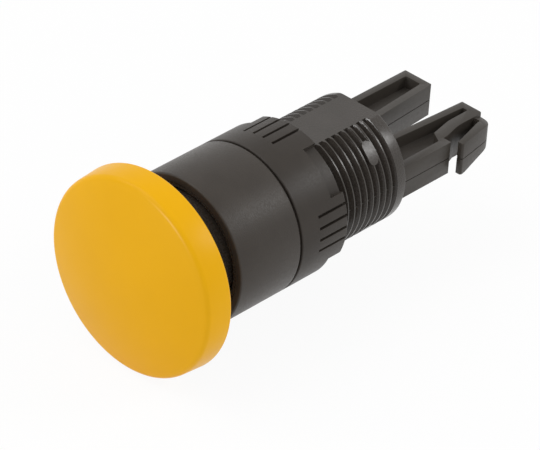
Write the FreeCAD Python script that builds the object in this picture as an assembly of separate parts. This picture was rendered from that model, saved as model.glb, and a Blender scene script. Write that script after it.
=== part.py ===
import FreeCAD, Part
import math
import os

# Mushroom push button head for a 16 mm panel hole, in millimetres.
# The push axis runs along Y: the cap faces -Y, the pusher legs point to +Y, and +Z is the side of
# the barrel's flat. The origin is on the axis, in the plane of the collar's rear face, which is
# the plane that the front of the panel lies in. Angles are measured from +X towards +Z.

os.makedirs("parts", exist_ok=True)
Vector = FreeCAD.Vector
AXIS = Vector(0, 1, 0)

# ---- driving dimensions ----
collar_radius = 9.0
collar_length = 9.2
cap_radius = 11.95
cap_rim_thickness = 3.3
cap_dome_height = 1.75
cap_gap = 4.4                  # collar front to the cap's underside
thread_radius = 7.6
thread_pitch = 1.0
barrel_length = 18.45          # behind the collar's rear face
nut_length = 7.1
press_travel = 3.0
plain_leg_length = 15.0
hook_leg_length = 14.9

# ---- clearances and fits ----
running_gap = 0.05             # radial, for a shaft in its guide
seat_gap = 0.05                # faces that rest on each other
side_gap = 0.3                 # faces that pass each other without guiding
seal_gap = 0.02                # rubber lip to the sliding head
gasket_gap = 0.02              # rubber ring in its groove
clamp_gap = 0.03               # faces that the nut presses together
thread_gap = 0.1               # radial, barrel thread's crest to the nut's groove
nut_crest_gap = 0.3            # radial, nut thread's crest to the barrel's root
thread_flank_slack = 0.06      # how much wider the nut's groove is than the barrel's crest
guide_gap = 0.2                # radial, the fork's guide disc in the barrel's bore
neck_gap = 0.4                 # radial, the fork's necks in the bore
root_gap = 0.7                 # radial, the legs' roots in the bore's mouth

# ---- reach of the volumes that are cut or joined ----
beyond = 30.0                  # further than any cut has to reach
overlap = 0.5                  # how far joined volumes reach into each other
barrel_overcut = 0.15          # the barrel's thread groove, past the crest
nut_overcut = 0.05             # the nut's thread groove, past its bore

# ---- thread ----
thread_depth = 0.6
spare_turns = 3                # of the nut's thread, cut off at both ends of the nut
thread_root_flat = 0.15
thread_crest_at = 0.89         # where a crest crosses +Z, as a share of the pitch
hidden_turns = 2               # cut in front of the panel plane, inside the collar
thread_root_radius = thread_radius - thread_depth
nut_minor_radius = thread_root_radius + nut_crest_gap
nut_major_radius = thread_radius + thread_gap
end_ring_length = 0.5          # plain ring behind the last turn, where it is shortest
end_ring_round = 0.2
flat_height = thread_root_radius
smooth_half_width = math.sqrt((nut_minor_radius - running_gap) ** 2 - flat_height ** 2)
smooth_bar_depth = 0.4         # how deep the bar under the smooth middle of the flat reaches

# ---- collar ----
collar_wall = 0.85
collar_floor = 1.4
collar_edge_round = 0.25
collar_bore = collar_radius - collar_wall
barrel_hole = thread_radius + thread_gap
gasket_land = 0.4
gasket_width = 0.55
gasket_depth = 0.5
gasket_inner = barrel_hole + gasket_land
gasket_outer = gasket_inner + gasket_width

# ---- barrel ----
barrel_wall = 1.3              # under the thread's root
cup_wall = 0.6
flange_web = 1.15
flange_radius = collar_bore - seat_gap
flange_rear = -collar_floor - seat_gap
flange_floor = flange_rear - flange_web
barrel_bore = thread_root_radius - barrel_wall
bore_step = 0.1                # the bore is tighter in front of the web
spring_bore = barrel_bore - bore_step
web_front = 3.0
web_length = 2.0
web_rear = web_front + web_length
pad_length = 1.4               # flat pads that stop the nut, along the barrel
pad_width = 2.9                # and across it
pad_below_crest = 0.15
pad_height = thread_radius - pad_below_crest
pad_angles = (44, -44)
pad_rear_inset = 4.15          # barrel's rear end to the pad's middle

# ---- seal stack in the collar's mouth ----
head_radius = flange_radius - cup_wall - side_gap
cup_bore = head_radius + side_gap
seal_length = 1.4
seal_wall = 0.55
lip_thickness = 0.3
retainer_length = 1.3
retainer_inset = 0.2
retainer_edge_round = 0.2
retainer_front = -collar_length + retainer_inset
seal_front = retainer_front + retainer_length + seat_gap
rim_front = seal_front + seal_length + seat_gap

# ---- cap ----
cap_draft = 0.25
cap_front_radius = cap_radius - cap_draft
cap_under = -collar_length - cap_gap
cap_front_edge = cap_under - cap_rim_thickness
cap_apex = cap_front_edge - cap_dome_height
cap_wall = 1.5
cap_side_wall = 1.4
cap_edge_round = 0.45
cap_rear_round = 0.3
boss_radius = 4.9
boss_wall = 1.3
boss_length = 2.6              # below the cap's underside
boss_end = cap_under + boss_length
bead_height = 0.2
bead_length = 0.5
bead_inset = 0.2
bead_slack = 0.2
rib_count = 6
rib_thickness = 1.0

# ---- plunger ----
head_recess = 1.0              # how far the head stands up inside the cap
head_front = cap_under - head_recess
head_rear = flange_floor - side_gap - press_travel
head_front_round = 0.3
head_rear_round = 0.2
head_web = 1.2
socket_radius = boss_radius + 2 * running_gap
socket_floor = boss_end + bead_inset
pocket_floor = socket_floor + head_web
pocket_step = 0.2              # the head's spring pocket is tighter than the barrel's bore
pocket_radius = spring_bore - pocket_step
shank_radius = 3.0
neck_radius = 2.5
neck_round = 0.4
neck_end_length = 0.9          # behind the clip

# ---- fork hub and clip ----
hub_front = web_rear + seat_gap     # the hub stops the button against the barrel's web
hub_length = 2.7
hub_rear = hub_front + hub_length
hub_radius = barrel_bore - side_gap
clip_thickness = 0.6
clip_front = hub_rear + seat_gap
clip_rear = clip_front + clip_thickness
clip_radius = 3.8
clip_groove_radius = 1.9
clip_mouth = 2.4
clip_notch_radius = 0.6
clip_notch_angles = (20, 90, 160)

# ---- return spring ----
spring_radius = 4.6            # to the middle of the wire
spring_wire = 0.6
spring_turns = 7
wire_sides = 8

# ---- pusher fork ----
guide_inset = 4.05             # barrel's rear end to the guide disc's front
guide_length = 1.5
guide_front = barrel_length - guide_inset
guide_radius = barrel_bore - guide_gap
neck_outer = barrel_bore - neck_gap
neck_thickness = 1.2
neck_half_height = 1.7
root_outer = barrel_bore - root_gap
leg_half_height = 2.03
leg_start = barrel_length + seat_gap
pocket_depth = 1.5
leg_wall = 0.9
leg_corner_round = 0.12
plain_leg_inner = 1.5
plain_leg_end_inner = 2.4
plain_leg_outer = 6.3
plain_leg_end = leg_start + plain_leg_length
hook_leg_inner = 1.5
hook_leg_end_inner = 2.4
hook_leg_outer = 7.16
hook_leg_end = leg_start + hook_leg_length
hook_nose_round = 1.6
hook_end_reach = 5.2           # where the flat end of the hook leg stops
hook_end_step = 0.3            # and how far the nose beside it stays back
notch_distance = 7.7           # leg's start to the notch
notch_width = 0.65
notch_floor = 6.0
notch_front = leg_start + notch_distance
notch_rear = notch_front + notch_width
arm_reach = 8.38               # at the arm's free end
arm_root_reach = 7.37
arm_thickness = 0.75
arm_root_length = 1.3
arm_tip_round = 0.35
slot_inner = 5.4
slot_outer = 6.25
slot_bend_distance = 2.4       # notch to the bend in the slot's inner side
nose_upper_taper_length = 1.9
nose_upper_taper = 0.5
nose_lower_taper_length = 5.7
nose_lower_taper = 1.25
spine_thickness = 1.4
block_wall = 1.09

# ---- washer and nut ----
washer_thickness = 0.3
washer_front = clamp_gap
washer_rear = washer_front + washer_thickness
washer_inset = 0.3
washer_radius = collar_radius - washer_inset
nut_front = washer_rear + clamp_gap
nut_rear = nut_front + nut_length
nut_edge_round = 0.15
grip_length = 4.3
grip_groove_depth = 0.45
grip_groove_width = 0.35
grip_groove_step = 9.0         # degrees
grip_group_middle = 6.2        # degrees
grooves_per_group = 4
group_count = 4
wrench_slot_middle = 47.4      # degrees
wrench_slot_angle = 39.2       # degrees
wrench_slot_length = 1.95
wrench_slot_depth = 0.65


def disc(radius, start, end):
    """Solid cylinder on the axis, from y = start to y = end."""
    return Part.makeCylinder(radius, end - start, Vector(0, start, 0), AXIS)


def ring(outer, inner, start, end):
    """Tube on the axis."""
    return disc(outer, start, end).cut(disc(inner, start - overlap, end + overlap))


def turned(outline):
    """Solid of revolution about the axis from closed (radius, y) points."""
    corners = [Vector(radius, y, 0) for radius, y in outline]
    return Part.Face(Part.makePolygon(corners + corners[:1])).revolve(Vector(), AXIS, 360)


def block(low, high):
    """Box between two (x, y, z) corners."""
    size = [high[i] - low[i] for i in range(3)]
    return Part.makeBox(size[0], size[1], size[2], Vector(*low))


def at_angle(shape, degrees):
    """A copy turned about the axis, from +X towards +Z."""
    copy = shape.copy()
    copy.rotate(Vector(), AXIS, -degrees)
    return copy


def plate(outline, half_height):
    """Prism of closed (x, y) points, from -half_height to +half_height in Z."""
    corners = [Vector(x, y, -half_height) for x, y in outline]
    return Part.Face(Part.makePolygon(corners + corners[:1])).extrude(Vector(0, 0, 2 * half_height))


def round_circle(shape, radius, y, size):
    """Fillet the full circle of this radius that lies at this y."""
    edges = [
        edge for edge in shape.Edges
        if not edge.Degenerated and isinstance(edge.Curve, Part.Circle)
        and abs(edge.Curve.Radius - radius) < 0.001
        and abs(edge.Curve.Center.y - y) < 0.001
    ]
    return shape.makeFillet(size, edges)


def round_corner(shape, x, y, size):
    """Fillet the edges that run along Z at this (x, y)."""
    edges = [
        edge for edge in shape.Edges
        if isinstance(edge.Curve, Part.Line) and abs(edge.Curve.Direction.z) > 0.999
        and math.hypot(edge.CenterOfMass.x - x, edge.CenterOfMass.y - y) < 0.001
    ]
    return shape.makeFillet(size, edges)


def helical_sweep(outline, start, turns, pitch):
    """Sweep (radius, y offset) points along a right-hand helix, starting over +Z."""
    mean_radius = sum(radius for radius, _ in outline) / len(outline)
    helix = Part.makeHelix(pitch, pitch * turns, mean_radius)
    corners = [Vector(radius, 0, offset) for radius, offset in outline]
    profile = Part.makePolygon(corners + corners[:1])
    sweep = Part.Wire(helix).makePipeShell([profile], True, True)
    sweep.rotate(Vector(), Vector(1, 0, 0), -90)
    sweep.translate(Vector(0, start, 0))
    return at_angle(sweep, 90)


def flank_width(depth, flat):
    """Half the width of a 60 degree thread form at this depth from its narrow end."""
    return flat / 2 + depth * math.tan(math.radians(30))


def barrel_thread_groove():
    """The helical groove that leaves the barrel's thread standing."""
    narrow = flank_width(0, thread_root_flat)
    wide = flank_width(thread_depth + barrel_overcut, thread_root_flat)
    outer = thread_radius + barrel_overcut
    outline = [(thread_root_radius, -narrow), (thread_root_radius, narrow), (outer, wide), (outer, -wide)]
    start = thread_pitch * (thread_crest_at + 0.5 - hidden_turns)
    turns = math.floor((barrel_length - end_ring_length - wide - start) / thread_pitch)
    return helical_sweep(outline, start, turns, thread_pitch)


def front_collar():
    body = disc(collar_radius, -collar_length, 0)
    body = round_circle(body, collar_radius, -collar_length, collar_edge_round)
    body = body.cut(disc(collar_bore, -beyond, -collar_floor))
    body = body.cut(disc(barrel_hole, -beyond, beyond))
    return body.cut(ring(gasket_outer, gasket_inner, -gasket_depth, beyond))


def nut_stop_pad():
    """Flat oval pad that fills the thread over +X, near the barrel's rear."""
    middle = barrel_length - pad_rear_inset
    foot = barrel_bore + barrel_wall / 2
    half = (pad_width - pad_length) / 2
    pad = block((foot, middle - pad_length / 2, -half), (pad_height, middle + pad_length / 2, half))
    for end in (-half, half):
        pad = pad.fuse(Part.makeCylinder(
            pad_length / 2, pad_height - foot, Vector(foot, middle, end), Vector(1, 0, 0)))
    return pad.removeSplitter()


def threaded_barrel():
    body = disc(thread_radius, flange_rear, barrel_length)
    body = round_circle(body, thread_radius, barrel_length, end_ring_round)
    body = body.cut(barrel_thread_groove())
    body = body.cut(block((-beyond, 0, flat_height), (beyond, beyond, beyond)))
    bar_floor = flat_height - smooth_bar_depth
    bar = block((-smooth_half_width, 0, bar_floor), (smooth_half_width, barrel_length, flat_height))
    body = body.fuse(bar)
    for angle in pad_angles:
        body = body.fuse(at_angle(nut_stop_pad(), angle))
    body = body.fuse(ring(flange_radius, cup_bore, rim_front, flange_rear))
    body = body.fuse(disc(flange_radius, flange_floor, flange_rear))
    body = body.cut(disc(spring_bore, -beyond, web_front))
    body = body.cut(disc(barrel_bore, web_rear, beyond))
    return body.cut(disc(shank_radius + running_gap, 0, barrel_length))


def seal_retainer():
    body = ring(flange_radius, cup_bore, retainer_front, retainer_front + retainer_length)
    return round_circle(body, cup_bore, retainer_front, retainer_edge_round)


def lip_seal():
    """Rubber ring with one lip that reaches in to wipe the sliding head."""
    inner = flange_radius - seal_wall
    rear = seal_front + seal_length
    lip = head_radius + seal_gap
    return turned([
        (flange_radius, seal_front), (flange_radius, rear), (lip, rear), (lip, rear - lip_thickness),
        (inner, rear - 2 * lip_thickness), (inner, seal_front),
    ])


def panel_gasket():
    return ring(gasket_outer - gasket_gap, gasket_inner + gasket_gap, gasket_gap - gasket_depth, 0)


def keyed_washer():
    """Thin washer whose hole has a straight side, so that it can't turn on the barrel."""
    hole = disc(barrel_hole, -beyond, beyond)
    hole = hole.cut(block((-beyond, -beyond, flat_height + seat_gap), (beyond, beyond, beyond)))
    return disc(washer_radius, washer_front, washer_rear).cut(hole)


def grip_groove():
    """One axial groove over +X, cut down from the nut's surface and open to its rear."""
    half = grip_groove_width / 2
    return block((collar_radius - grip_groove_depth, nut_rear - grip_length, -half), (beyond, beyond, half))


def wrench_slot():
    """The sector between two groups of grooves where the nut's rear is cut lower for a tool."""
    sector = Part.makeCylinder(
        beyond, beyond, Vector(), Vector(0, 0, 1), wrench_slot_angle)
    sector.rotate(Vector(), Vector(1, 0, 0), -90)
    sector.translate(Vector(0, nut_rear - wrench_slot_length, 0))
    sector = sector.cut(disc(collar_radius - wrench_slot_depth, nut_front, 2 * beyond))
    return at_angle(sector, wrench_slot_angle / 2)


def threaded_tube():
    """Tube with the nut's thread cut along its bore, longer and wider than the nut at both ends."""
    crest_flat = thread_pitch - 2 * flank_width(thread_depth, thread_root_flat) + thread_flank_slack
    inner = nut_minor_radius - nut_overcut
    narrow = flank_width(0, crest_flat)
    wide = flank_width(nut_major_radius - inner, crest_flat)
    outline = [(nut_major_radius, -narrow), (nut_major_radius, narrow), (inner, wide), (inner, -wide)]
    start = thread_pitch * (thread_crest_at - spare_turns)
    turns = math.ceil(nut_rear / thread_pitch) + 2 * spare_turns
    blank_end = start + (turns + spare_turns) * thread_pitch
    tube = ring(collar_radius + overlap, nut_minor_radius, start - spare_turns * thread_pitch, blank_end)
    return tube.cut(helical_sweep(outline, start, turns, thread_pitch))


def ring_nut():
    body = disc(collar_radius, nut_front, nut_rear)
    body = round_circle(body, collar_radius, nut_front, nut_edge_round)
    for group in range(group_count):
        turn = group * 360 / group_count
        for index in range(grooves_per_group):
            offset = (index - (grooves_per_group - 1) / 2) * grip_groove_step
            body = body.cut(at_angle(grip_groove(), grip_group_middle + offset + turn))
        body = body.cut(at_angle(wrench_slot(), wrench_slot_middle + turn))
    return threaded_tube().common(body)


def mushroom_cap():
    dome_radius = (cap_front_radius ** 2 + cap_dome_height ** 2) / (2 * cap_dome_height)
    half_way = cap_front_radius / 2
    sag = dome_radius - math.sqrt(dome_radius ** 2 - half_way ** 2)
    apex = Vector(0, cap_apex, 0)
    edge = Vector(cap_front_radius, cap_front_edge, 0)
    rim = Vector(cap_radius, cap_under, 0)
    middle = Vector(0, cap_under, 0)
    outline = [
        Part.Arc(apex, Vector(half_way, cap_apex + sag, 0), edge), Part.LineSegment(edge, rim),
        Part.LineSegment(rim, middle), Part.LineSegment(middle, apex),
    ]
    body = Part.Face(Part.Wire([curve.toShape() for curve in outline])).revolve(Vector(), AXIS, 360)
    body = round_circle(body, cap_front_radius, cap_front_edge, cap_edge_round)
    body = round_circle(body, cap_radius, cap_under, cap_rear_round)

    inner_radius = cap_front_radius - cap_side_wall
    ball_centre = Vector(0, cap_apex + dome_radius, 0)
    hollow = disc(inner_radius, cap_apex, beyond).common(Part.makeSphere(dome_radius - cap_wall, ball_centre))
    body = body.cut(hollow)

    inside = cap_apex + cap_wall
    boss = disc(boss_radius, inside, boss_end)
    bead_end = boss_end - bead_inset
    boss = boss.fuse(turned([
        (boss_radius - overlap, bead_end - bead_length), (boss_radius, bead_end - bead_length),
        (boss_radius + bead_height, bead_end - bead_length / 2), (boss_radius, bead_end),
        (boss_radius - overlap, bead_end),
    ]))
    boss = boss.cut(disc(boss_radius - boss_wall, inside + overlap, beyond))
    rib = block((boss_radius - overlap, inside, -rib_thickness / 2),
                (inner_radius + overlap, head_front - seat_gap, rib_thickness / 2))
    for index in range(rib_count):
        boss = boss.fuse(at_angle(rib, index * 360 / rib_count))
    shell = Part.makeSphere(dome_radius - cap_wall / 2, ball_centre)
    return body.fuse(boss.common(shell)).removeSplitter()


def plunger():
    """Sliding stem: a head that the cap snaps into, a guided shank, and a neck for fork and clip."""
    end = clip_rear + seat_gap + neck_end_length
    body = disc(head_radius, head_front, head_rear)
    body = round_circle(body, head_radius, head_front, head_front_round)
    body = round_circle(body, head_radius, head_rear, head_rear_round)
    groove_radius = socket_radius + bead_height
    body = body.cut(disc(socket_radius, -beyond, socket_floor))
    body = body.cut(disc(groove_radius, boss_end - bead_inset - bead_length - bead_slack, boss_end))
    body = body.cut(disc(pocket_radius, pocket_floor, beyond))
    body = body.fuse(disc(shank_radius, pocket_floor - overlap, hub_front - seat_gap))
    body = body.fuse(disc(neck_radius, pocket_floor, end))
    body = round_circle(body, neck_radius, end, neck_round)
    clip_groove = ring(2 * neck_radius, clip_groove_radius, clip_front - seat_gap / 2, clip_rear + seat_gap)
    return body.cut(clip_groove)


def retaining_clip():
    """E-shaped spring clip, pushed on from the side, with notches that let it open."""
    body = ring(clip_radius, clip_groove_radius + running_gap, clip_front, clip_rear)
    body = body.cut(block((-clip_mouth / 2, -beyond, -beyond), (clip_mouth / 2, beyond, 0)))
    notch = Part.makeCylinder(
        clip_notch_radius, 2 * beyond, Vector(clip_groove_radius + clip_notch_radius / 2, -beyond, 0), AXIS)
    for angle in clip_notch_angles:
        body = body.cut(at_angle(notch, angle))
    return body


def return_spring():
    """Coil spring whose wire has a many-sided section of the round wire's area."""
    wire = spring_wire / 2
    first = pocket_floor + seat_gap + wire
    last = web_front - seat_gap - wire
    pitch = (last - first) / spring_turns
    side_angle = 2 * math.pi / wire_sides
    corner_radius = wire * math.sqrt(side_angle / math.sin(side_angle))
    section = [
        (spring_radius + corner_radius * math.cos((side + 0.5) * side_angle),
         corner_radius * math.sin((side + 0.5) * side_angle))
        for side in range(wire_sides)
    ]
    return helical_sweep(section, first, spring_turns, pitch)


def both_sides(shape):
    """Blind pockets of this through shape, one from above and one from below."""
    floor = leg_half_height - pocket_depth
    upper = shape.cut(block((-beyond, -beyond, -beyond), (beyond, 2 * beyond, floor)))
    return upper.fuse(upper.mirror(Vector(), Vector(0, 0, 1)))


def nose_wedge(length, taper, side):
    """Wedge that slopes the hook arm's upper (side 1) or lower (side -1) face down to its rear end."""
    top = side * leg_half_height
    outline = [
        (hook_leg_end - length, top), (hook_leg_end + overlap, top - side * taper * (1 + overlap / length)),
        (hook_leg_end + overlap, top + side * overlap), (hook_leg_end - length, top + side * overlap),
    ]
    corners = [Vector(slot_inner, y, z) for y, z in outline]
    return Part.Face(Part.makePolygon(corners + corners[:1])).extrude(Vector(beyond, 0, 0))


def hook_leg():
    """The leg whose outer arm is free at its front end and springs in and out as a snap hook."""
    nose = hook_leg_end - hook_end_step
    leg = plate([
        (hook_leg_inner, leg_start), (hook_leg_end_inner, hook_leg_end), (hook_end_reach, hook_leg_end),
        (hook_end_reach + hook_end_step, nose), (arm_root_reach, nose),
        (arm_reach, notch_rear), (notch_floor, notch_rear), (notch_floor, notch_front),
        (hook_leg_outer, notch_front), (hook_leg_outer, leg_start),
    ], leg_half_height)
    leg = round_corner(leg, arm_root_reach, nose, hook_nose_round)
    leg = round_corner(leg, arm_reach, notch_rear, arm_tip_round)
    slot_end = hook_leg_end - arm_root_length
    slot = plate([
        (notch_floor, notch_rear - overlap), (notch_floor, notch_rear),
        (slot_inner, notch_rear + slot_bend_distance), (slot_inner, slot_end), (slot_outer, slot_end),
        (arm_reach - arm_thickness, notch_rear), (arm_reach - arm_thickness, notch_rear - overlap),
    ], beyond)

    lean = (hook_leg_end_inner - hook_leg_inner) / hook_leg_length
    front = leg_start + leg_wall
    rear = hook_leg_end - leg_wall
    inner_front = hook_leg_inner + leg_wall * (1 + lean)
    inner_rear = hook_leg_end_inner + leg_wall * (1 - lean)
    spine_inner = notch_floor - spine_thickness
    spine_rear = slot_inner - spine_thickness
    block_outer = hook_leg_outer - block_wall
    pocket = plate([
        (inner_front, front), (inner_rear, rear), (spine_rear, rear),
        (spine_rear, notch_rear + slot_bend_distance), (spine_inner, notch_front),
        (block_outer, notch_front - leg_wall), (block_outer, front),
    ], beyond)
    leg = leg.cut(slot).cut(both_sides(pocket))
    leg = leg.cut(nose_wedge(nose_upper_taper_length, nose_upper_taper, 1))
    return leg.cut(nose_wedge(nose_lower_taper_length, nose_lower_taper, -1))


def plain_leg():
    """The leg with no hook; its inner side leans away from the axis as the hook leg's does."""
    leg = plate([
        (-plain_leg_inner, leg_start), (-plain_leg_end_inner, plain_leg_end),
        (-plain_leg_outer, plain_leg_end), (-plain_leg_outer, leg_start),
    ], leg_half_height)
    for x in (-plain_leg_outer, -plain_leg_end_inner):
        leg = round_corner(leg, x, plain_leg_end, leg_corner_round)
    lean = (plain_leg_end_inner - plain_leg_inner) / plain_leg_length
    front = leg_start + leg_wall
    rear = plain_leg_end - leg_wall / 2
    inner_front = plain_leg_inner + leg_wall * (1 + lean)
    inner_rear = plain_leg_end_inner + leg_wall * (1 - lean / 2)
    outer = plain_leg_outer - leg_wall + leg_corner_round
    pocket = plate([(-inner_front, front), (-inner_rear, rear), (-outer, rear), (-outer, front)], beyond)
    return leg.cut(both_sides(pocket))


def switch_fork():
    """Hub on the plunger's neck, two necks, a guide disc in the barrel's bore, and the two legs."""
    body = ring(hub_radius, neck_radius + running_gap, hub_front, hub_rear)
    guide_rear = guide_front + guide_length
    body = body.fuse(disc(guide_radius, guide_front, guide_rear))
    for side in (-1, 1):
        neck = sorted((side * (neck_outer - neck_thickness), side * neck_outer))
        body = body.fuse(block((neck[0], hub_rear - overlap, -neck_half_height),
                               (neck[1], guide_front + overlap, neck_half_height)))
    for low, high in ((-root_outer, -plain_leg_inner), (hook_leg_inner, root_outer)):
        root = block((low, guide_rear - overlap, -leg_half_height), (high, leg_start, leg_half_height))
        body = body.fuse(root)
    return body.fuse(plain_leg()).fuse(hook_leg()).removeSplitter()


PARTS = [
    front_collar, threaded_barrel, seal_retainer, lip_seal, panel_gasket, keyed_washer, ring_nut,
    mushroom_cap, plunger, retaining_clip, return_spring, switch_fork,
]

for make in PARTS:
    make().exportStep(f"parts/{make.__name__}.step")
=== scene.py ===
"""Looks of a mushroom push button head, built round its packed construction model.

Lengths in the classes are millimetres in the model's own frame: the push axis runs along Y, the
cap faces -Y, the legs point to +Y, and +Z is the side of the barrel's flat. They become metres
when a mesh is made. Angles are measured from +X towards +Z.
"""

import logging
import math
from dataclasses import dataclass
from enum import Enum
from typing import Callable, Iterable, Sequence

import bmesh
import bpy
from mathutils import Matrix, Vector


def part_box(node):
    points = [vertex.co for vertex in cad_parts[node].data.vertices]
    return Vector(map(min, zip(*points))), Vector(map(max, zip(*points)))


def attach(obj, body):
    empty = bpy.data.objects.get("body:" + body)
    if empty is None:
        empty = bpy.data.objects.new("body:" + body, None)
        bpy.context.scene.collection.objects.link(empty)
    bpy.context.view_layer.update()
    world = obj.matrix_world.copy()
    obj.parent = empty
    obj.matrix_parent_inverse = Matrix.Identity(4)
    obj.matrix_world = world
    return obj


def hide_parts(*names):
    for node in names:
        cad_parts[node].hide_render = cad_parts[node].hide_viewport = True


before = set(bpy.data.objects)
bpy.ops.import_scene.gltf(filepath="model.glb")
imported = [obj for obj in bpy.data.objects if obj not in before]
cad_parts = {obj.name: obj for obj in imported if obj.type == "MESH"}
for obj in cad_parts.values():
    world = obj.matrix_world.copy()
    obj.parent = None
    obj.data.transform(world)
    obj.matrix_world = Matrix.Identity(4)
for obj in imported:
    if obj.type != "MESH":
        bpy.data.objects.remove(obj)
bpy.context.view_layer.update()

logging.basicConfig(level=logging.INFO, format="%(message)s")
log = logging.getLogger("push_button")

MM = 0.001
MERGE = 0.0005 * MM
FULL_TURN = 2 * math.pi
FINE_STEPS = 192
BORE_STEPS = 96
CORNER_STEPS = 5
PUSH_AXIS = (0.0, 1.0, 0.0)
FLANK_SLOPE = math.tan(math.radians(30))

# In millimetres: how near two places count as one, how far a cutter reaches past the face that it
# opens, and how far a solid reaches into the one that it joins.
SAME_PLACE = 0.001
PAST = 1.0
OVERLAP = 0.3

# The values between which most of a noise lies.
NOISE_LOW = 0.3
NOISE_HIGH = 0.7

Place = tuple[float, float]
Colour = tuple[float, float, float]


class Cut(Enum):
    """How one solid changes another."""

    ADD = "UNION"
    TAKE = "DIFFERENCE"


class Body(Enum):
    """The moving groups of the construction model."""

    HOUSING = "housing"
    BUTTON = "button"
    WASHER = "washer"
    NUT = "nut"


class Slot(Enum):
    """The record's material slots."""

    CAP = "yellow_cap"
    BLACK = "black_plastic"
    FORK = "fork_plastic"
    RUBBER = "rubber"
    STEEL = "steel"


# ---------------------------------------------------------------- modelling by hand


@dataclass(frozen=True)
class Corner:
    """One corner of an outline: distance from the axis, place along it, and rounding radius."""

    across: float
    along: float
    rounding: float = 0.0


def cad_size(node: str) -> tuple[Vector, Vector]:
    """Lowest and highest corners of a construction node, in millimetres."""
    low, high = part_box(node)
    return low / MM, high / MM


def select_vertices(wanted: Callable[[Vector], bool]) -> None:
    """Select only the vertices of the open mesh whose place, in millimetres, is wanted."""
    bpy.ops.mesh.select_mode(type="VERT")
    bpy.ops.mesh.select_all(action="DESELECT")
    shape = bmesh.from_edit_mesh(bpy.context.object.data)
    for vertex in shape.verts:
        if wanted(vertex.co / MM):
            vertex.select_set(True)
    bmesh.update_edit_mesh(bpy.context.object.data)


def draw_outline(name: str, corners: Sequence[Corner]) -> bpy.types.Object:
    """Draw a closed outline in the XY plane by extruding one vertex, then round its corners.

    Args:
        name: name of the new object.
        corners: corners in order.

    Returns:
        The object, left in edit mode with everything selected.
    """
    bpy.ops.object.select_all(action="DESELECT")
    bpy.ops.mesh.primitive_plane_add(size=MM)
    piece = bpy.context.object
    piece.name = name
    bpy.ops.object.mode_set(mode="EDIT")
    bpy.ops.mesh.select_all(action="SELECT")
    bpy.ops.mesh.merge(type="CENTER")
    pen = Vector((corners[0].across, corners[0].along, 0.0))
    bpy.ops.transform.translate(value=pen * MM)
    for corner in [*corners[1:], corners[0]]:
        target = Vector((corner.across, corner.along, 0.0))
        bpy.ops.mesh.extrude_region_move(TRANSFORM_OT_translate={"value": (target - pen) * MM})
        pen = target
    bpy.ops.mesh.select_all(action="SELECT")
    bpy.ops.mesh.remove_doubles(threshold=MERGE)
    for corner in corners:
        if corner.rounding:
            place = Vector((corner.across, corner.along, 0.0))
            select_vertices(lambda point: (point - place).length < SAME_PLACE)
            bpy.ops.mesh.bevel(offset=corner.rounding * MM, segments=CORNER_STEPS, affect="VERTICES")
    bpy.ops.mesh.select_all(action="SELECT")
    return piece


def drawn_in(corners: Sequence[Corner], distance: float) -> list[Corner]:
    """The same outline with every side moved inwards.

    Args:
        corners: corners in order, either way round.
        distance: how far the sides move.

    Returns:
        The corners of the smaller outline.
    """
    points = [Vector((corner.across, corner.along)) for corner in corners]
    followers = [*points[1:], points[0]]
    area = sum(point.x * after.y - after.x * point.y for point, after in zip(points, followers))
    side = math.copysign(1.0, area)
    moved = []
    for index, corner in enumerate(corners):
        before = (points[index] - points[index - 1]).normalized()
        after = (followers[index] - points[index]).normalized()
        inwards = Vector((-before.y - after.y, before.x + after.x)) * side
        place = points[index] + inwards * distance / (1 + before.dot(after))
        moved.append(Corner(place.x, place.y, corner.rounding))
    return moved


def close_mesh(piece: bpy.types.Object) -> bpy.types.Object:
    """Merge doubles, point the faces outwards and leave edit mode."""
    bpy.ops.mesh.select_all(action="SELECT")
    bpy.ops.mesh.remove_doubles(threshold=MERGE)
    bpy.ops.mesh.normals_make_consistent(inside=False)
    bpy.ops.object.mode_set(mode="OBJECT")
    return piece


def turn_shape(name: str, corners: Sequence[Corner], steps: int = FINE_STEPS) -> bpy.types.Object:
    """Spin a closed outline a full turn about the push axis.

    Args:
        name: name of the new object.
        corners: the outline.
        steps: flats in a full turn.

    Returns:
        The closed solid.
    """
    piece = draw_outline(name, corners)
    bpy.ops.mesh.spin(steps=steps, angle=FULL_TURN, center=(0.0, 0.0, 0.0), axis=PUSH_AXIS)
    return close_mesh(piece)


def raise_plate(name: str, corners: Sequence[Corner], low: float, high: float) -> bpy.types.Object:
    """Fill a closed outline and extrude it along Z.

    Args:
        name: name of the new object.
        corners: the outline.
        low: height of the plate's underside.
        high: height of its top.

    Returns:
        The closed solid.
    """
    piece = draw_outline(name, corners)
    bpy.ops.mesh.edge_face_add()
    bpy.ops.transform.translate(value=(0.0, 0.0, low * MM))
    bpy.ops.mesh.extrude_region_move(TRANSFORM_OT_translate={"value": (0.0, 0.0, (high - low) * MM)})
    return close_mesh(piece)


def make_block(name: str, low: Sequence[float], high: Sequence[float]) -> bpy.types.Object:
    """A box between two corners, as a plate of four corners."""
    corners = [
        Corner(low[0], low[1]), Corner(high[0], low[1]), Corner(high[0], high[1]), Corner(low[0], high[1]),
    ]
    return raise_plate(name, corners, low[2], high[2])


def apply_modifier(piece: bpy.types.Object, modifier: bpy.types.Modifier) -> None:
    """Apply one modifier to a piece."""
    bpy.ops.object.select_all(action="DESELECT")
    piece.select_set(True)
    bpy.context.view_layer.objects.active = piece
    bpy.ops.object.modifier_apply(modifier=modifier.name)


def combine(piece: bpy.types.Object, tool: bpy.types.Object, cut: Cut) -> None:
    """Add a solid to a piece or take it away, and delete the solid."""
    modifier = piece.modifiers.new("combine", "BOOLEAN")
    modifier.operation = cut.value
    modifier.solver = "EXACT"
    modifier.object = tool
    apply_modifier(piece, modifier)
    bpy.data.objects.remove(tool)


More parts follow.
